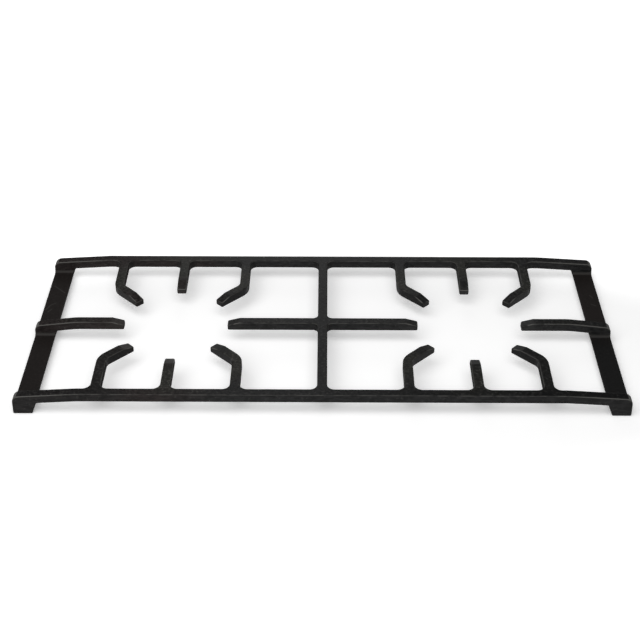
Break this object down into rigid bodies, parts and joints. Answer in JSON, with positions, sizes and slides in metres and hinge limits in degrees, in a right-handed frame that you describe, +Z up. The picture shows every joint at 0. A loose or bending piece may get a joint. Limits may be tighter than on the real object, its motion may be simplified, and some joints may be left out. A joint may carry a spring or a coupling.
{
  "type": "hob pan support",
  "caption": "One-piece black cast-iron pan support for a gas hob: long rails on low end strips, a middle cross and fingers that point at each burner.",
  "frame": {"origin": "on the hob's surface, under the middle of the support", "axes": "+X along the rails, +Y from the front rail to the rear rail, +Z up from the hob"},
  "size_m": [0.48, 0.2, 0.0195],
  "materials": {
    "coated_iron": "matte black coating over a fine sand-cast grain"
  },
  "bodies": {
    "root": {"pan_support": "coated_iron"}
  },
  "joints": []
}
